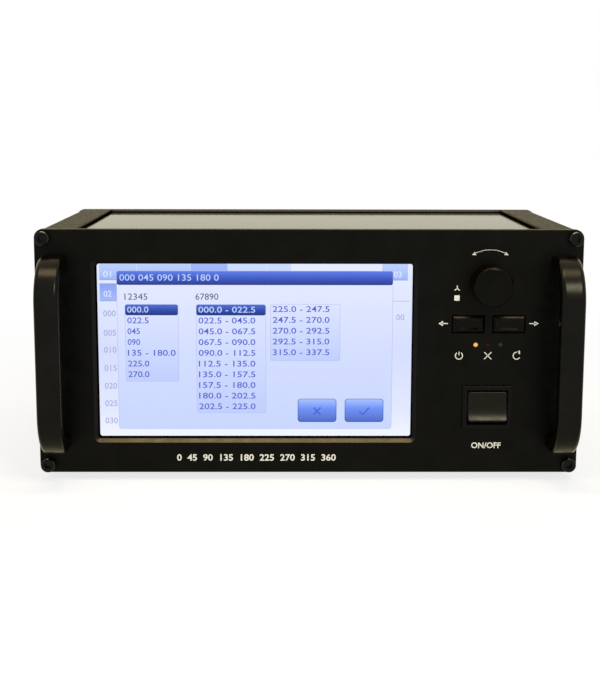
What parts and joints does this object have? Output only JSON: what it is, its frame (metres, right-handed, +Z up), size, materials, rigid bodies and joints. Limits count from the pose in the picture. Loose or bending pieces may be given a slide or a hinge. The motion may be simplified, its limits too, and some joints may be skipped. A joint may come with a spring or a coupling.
{
  "type": "antenna rotator controller",
  "caption": "Desk-top aerial rotator controller: black metal case with a wide touch display, push-turn knob, arrow buttons, status lights, rocker power switch and bow handles.",
  "frame": {"origin": "middle of the case's footprint, handles and ground stud included, on the surface the feet stand on", "axes": "+X to the user's right, +Y from the front panel towards the rear, +Z up"},
  "size_m": [0.2656, 0.183, 0.1244],
  "materials": {
    "black_panel": "fine matt black anodising",
    "black_cover": "smooth satin black coating",
    "black_rail": "matt black powder coat",
    "black_handle": "satin black anodising",
    "black_screw": "black oxide",
    "zinc_steel": "zinc plated",
    "nickel_shell": "nickel plated",
    "brass_part": "plain",
    "black_rubber": "matt",
    "screen_glass": "clear, glossy",
    "lit_screen": null,
    "green_board": "solder mask",
    "knob_black": "smooth satin black",
    "button_black": "moulded, satin",
    "rocker_black": "moulded, satin",
    "housing_black": "moulded",
    "amber_light": "lit amber",
    "red_light": "unlit red",
    "green_light": "unlit green",
    "led_chip": "epoxy",
    "relay_case": "smooth blue",
    "can_sleeve": "shrink sleeve",
    "bare_aluminium": "extruded",
    "coil_tape": "wound tape",
    "fuse_glass": "glass tube",
    "green_terminal": "moulded"
  },
  "bodies": {
    "case": {"board_chips": "housing_black", "board_screws": "zinc_steel", "board_spacers": "zinc_steel", "bottom_cover": "black_cover", "button_switches": "housing_black", "capacitors": "can_sleeve", "control_board": "green_board", "corner_screws": "black_screw", "display_board": "green_board", "display_clamps": "zinc_steel", "display_gasket": "black_rubber", "display_glass": "screen_glass", "display_module": "lit_screen", "encoder_body": "housing_black", "encoder_nut": "zinc_steel", "foot_screws": "zinc_steel", "front_panel": "black_panel", "ground_terminal": "brass_part", "handle_left": "black_handle", "handle_right": "black_handle", "handle_screws": "zinc_steel", "heatsink": "bare_aluminium", "inlet_screws": "zinc_steel", "led_amber": "amber_light", "led_chips": "led_chip", "led_green": "green_light", "led_red": "red_light", "m3_nuts": "zinc_steel", "main_board": "green_board", "mains_blades": "brass_part", "mains_inlet": "housing_black", "network_socket": "nickel_shell", "panel_studs": "zinc_steel", "power_switch_housing": "housing_black", "power_transistors": "housing_black", "rear_panel": "black_rail", "relays": "relay_case", "rotator_header": "green_terminal", "rubber_feet": "black_rubber", "side_rail_left": "black_rail", "side_rail_right": "black_rail", "standoffs": "zinc_steel", "top_cover": "black_cover", "transformer_bolt": "zinc_steel", "transformer_coil": "coil_tape", "transformer_pads": "black_rubber", "transformer_washer": "zinc_steel", "usb_socket": "nickel_shell"},
    "encoder": {"encoder_rotor": "housing_black"},
    "knob": {"encoder_shaft": "zinc_steel", "control_knob": "knob_black", "knob_set_screw": "black_screw"},
    "left_button": {"button_left": "button_black"},
    "right_button": {"button_right": "button_black"},
    "rocker": {"power_rocker": "rocker_black"},
    "drawer": {"fuse_drawer": "housing_black", "mains_fuse": "fuse_glass"},
    "plug": {"rotator_plug": "green_terminal", "terminal_screws": "zinc_steel"}
  },
  "joints": [
    {"name": "knob_turn", "type": "hinge", "parent": "case", "child": "encoder", "pos_m": [0.0875, -0.062, 0.09825], "axis": [0, 1, 0], "continuous": true},
    {"name": "knob_press", "type": "slide", "parent": "encoder", "child": "knob", "axis": [0, 1, 0], "range_m": [0, 0.0005], "stiffness_N_per_m": 1500, "springref_m": -0.0004},
    {"name": "left_press", "type": "slide", "parent": "case", "child": "left_button", "axis": [0, 1, 0], "range_m": [0, 0.0008], "stiffness_N_per_m": 600, "springref_m": -0.0005},
    {"name": "right_press", "type": "slide", "parent": "case", "child": "right_button", "axis": [0, 1, 0], "range_m": [0, 0.0008], "stiffness_N_per_m": 600, "springref_m": -0.0005},
    {"name": "power_rock", "type": "hinge", "parent": "case", "child": "rocker", "pos_m": [0.0877, -0.0605, 0.0371], "axis": [1, 0, 0], "range_deg": [0, 18]},
    {"name": "drawer_pull", "type": "slide", "parent": "case", "child": "drawer", "axis": [0, 1, 0], "range_m": [0, 0.013]},
    {"name": "plug_pull", "type": "slide", "parent": "case", "child": "plug", "axis": [0, 1, 0], "range_m": [0, 0.009]}
  ]
}
